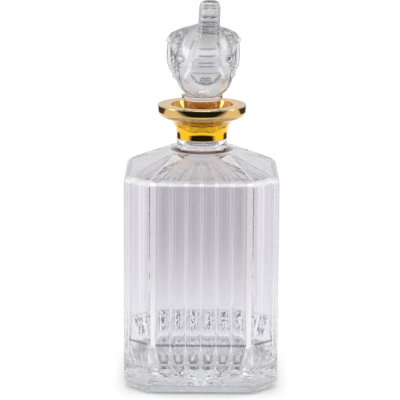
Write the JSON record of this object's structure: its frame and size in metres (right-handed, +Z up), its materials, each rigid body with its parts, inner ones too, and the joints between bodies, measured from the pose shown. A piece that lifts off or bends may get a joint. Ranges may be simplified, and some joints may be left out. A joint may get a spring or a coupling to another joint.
{
  "type": "figural liquor decanter",
  "caption": "Square cut-corner crystal spirit decanter with a fluted cavity, gilt flared neck collar and a lift-out glass elephant-head stopper.",
  "frame": {"origin": "centre of the face that the decanter stands on", "axes": "+Z up along the neck, -Y towards the viewer and the elephant's face, +X to the viewer's right"},
  "size_m": [0.1, 0.1, 0.252],
  "materials": {
    "crystal": "polished clear crystal",
    "gilt_brass": "mirror-polished gilding",
    "collar_epoxy": "amber cured epoxy",
    "stopper_glass": "polished clear crystal",
    "seal_rubber": "clear soft rubber",
    "bond_adhesive": "clear cured adhesive",
    "figure_glass": "fire-polished pressed crystal"
  },
  "bodies": {
    "bottle": {"decanter_body": "crystal", "collar_cement": "collar_epoxy", "neck_collar": "gilt_brass"},
    "seal": {"seal_rings": "seal_rubber"},
    "stopper": {"stopper_plug": "stopper_glass", "head_bond": "bond_adhesive", "elephant_head": "figure_glass"}
  },
  "joints": [
    {"name": "stopper_lift", "type": "slide", "parent": "bottle", "child": "seal", "axis": [0, 0, 1], "range_m": [0, 0.06]},
    {"name": "stopper_turn", "type": "hinge", "parent": "seal", "child": "stopper", "pos_m": [0, 0, 0.165], "axis": [0, 0, 1], "continuous": true}
  ]
}
